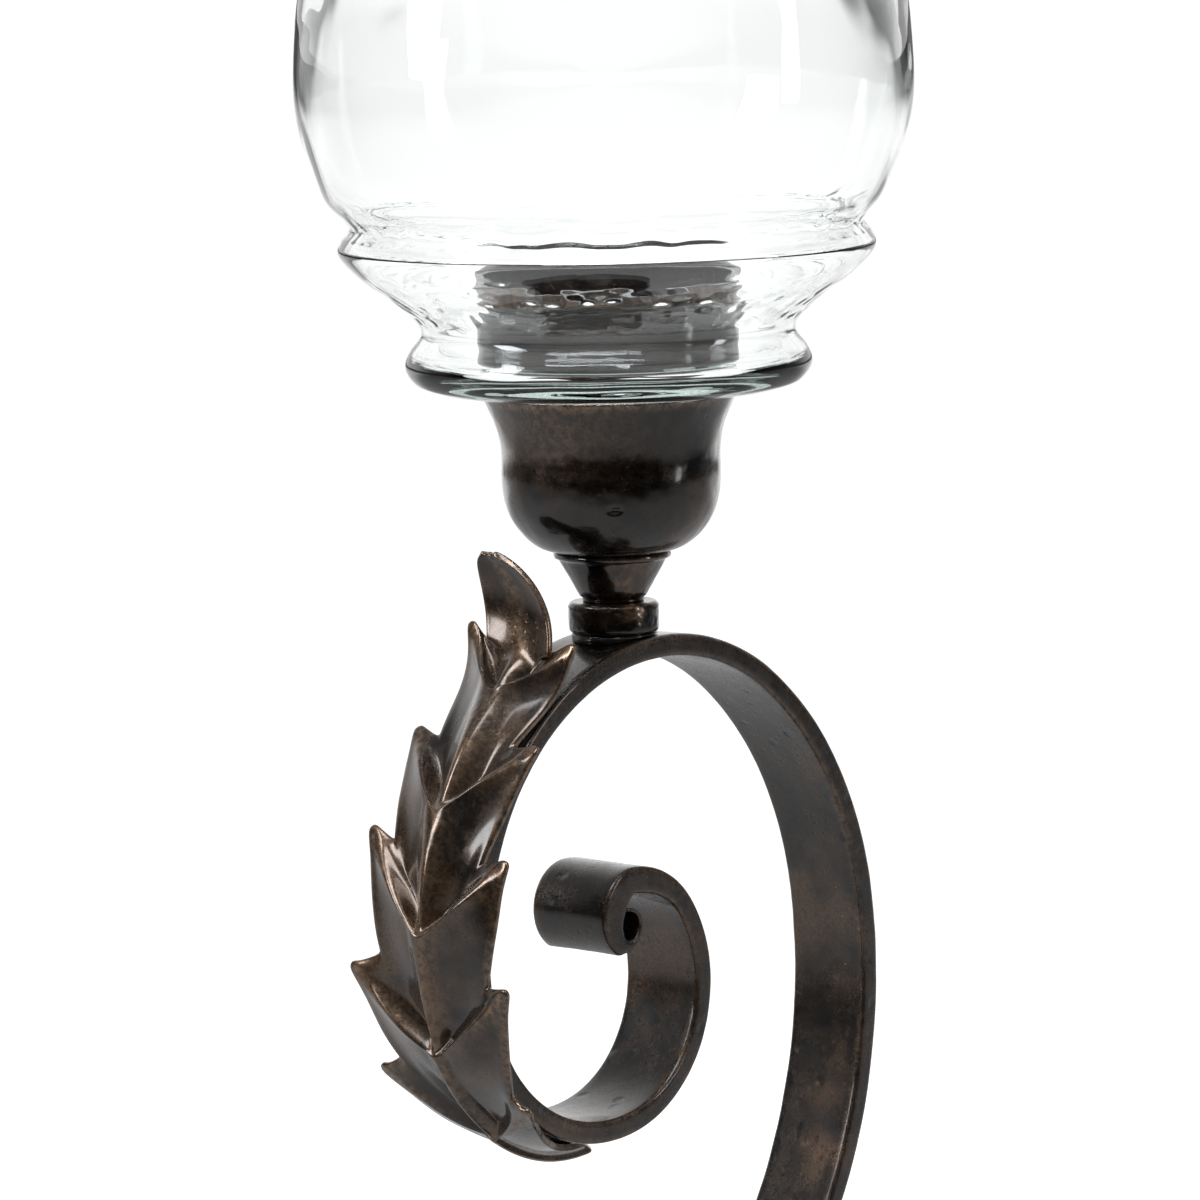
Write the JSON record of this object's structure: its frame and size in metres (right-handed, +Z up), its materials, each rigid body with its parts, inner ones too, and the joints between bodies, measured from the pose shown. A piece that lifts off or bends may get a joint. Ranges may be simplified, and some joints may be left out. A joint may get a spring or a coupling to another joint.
{
  "type": "pillar candle holder",
  "caption": "Iron S-scroll stand with an acanthus leaf, bell cup and round foot, carrying a lift-off blown-glass hurricane shade with a candle pan inside.",
  "frame": {"origin": "centre of the felt pad's underside, on the candle's axis, where the holder stands", "axes": "+Z up along the candle's axis; the scroll lies in the XZ plane with the leaf on the -X side; Y runs across the flat bar"},
  "size_m": [0.2106, 0.2, 0.7593],
  "materials": {
    "bronzed_iron": "dark oil-rubbed bronze paint, satin, rubbed to copper brown on edges",
    "leaf_metal": "the same paint rubbed further back on the veins and lobe edges",
    "clear_glass": "clear hand-blown glass, softly wavy, hammered under the ring",
    "pan_metal": "dark satin paint",
    "zinc_steel": "zinc-plated hardware",
    "clear_silicone": "translucent milky silicone, matt",
    "felt": "dark wool felt"
  },
  "bodies": {
    "stand": {"seat_gasket": "clear_silicone", "bell_cup": "bronzed_iron", "cup_nut": "zinc_steel", "cup_washer": "zinc_steel", "cup_rod": "zinc_steel", "cone_ferrule": "bronzed_iron", "collar": "bronzed_iron", "collar_weld": "bronzed_iron", "scroll_bar": "bronzed_iron", "acanthus_leaf": "leaf_metal", "leaf_welds": "bronzed_iron", "foot_weld": "bronzed_iron", "foot_collar": "bronzed_iron", "foot_cone": "bronzed_iron", "foot_casting": "bronzed_iron", "foot_bolt": "zinc_steel", "foot_washer": "zinc_steel", "felt_pad": "felt"},
    "shade": {"glass_shade": "clear_glass"},
    "pan": {"candle_pan": "pan_metal", "pan_pads": "clear_silicone"}
  },
  "joints": [
    {"name": "glass_lift", "type": "slide", "parent": "stand", "child": "shade", "axis": [0, 0, 1], "range_m": [0, 0.12]},
    {"name": "pan_lift", "type": "slide", "parent": "shade", "child": "pan", "axis": [0, 0, 1], "range_m": [0, 0.26]}
  ]
}
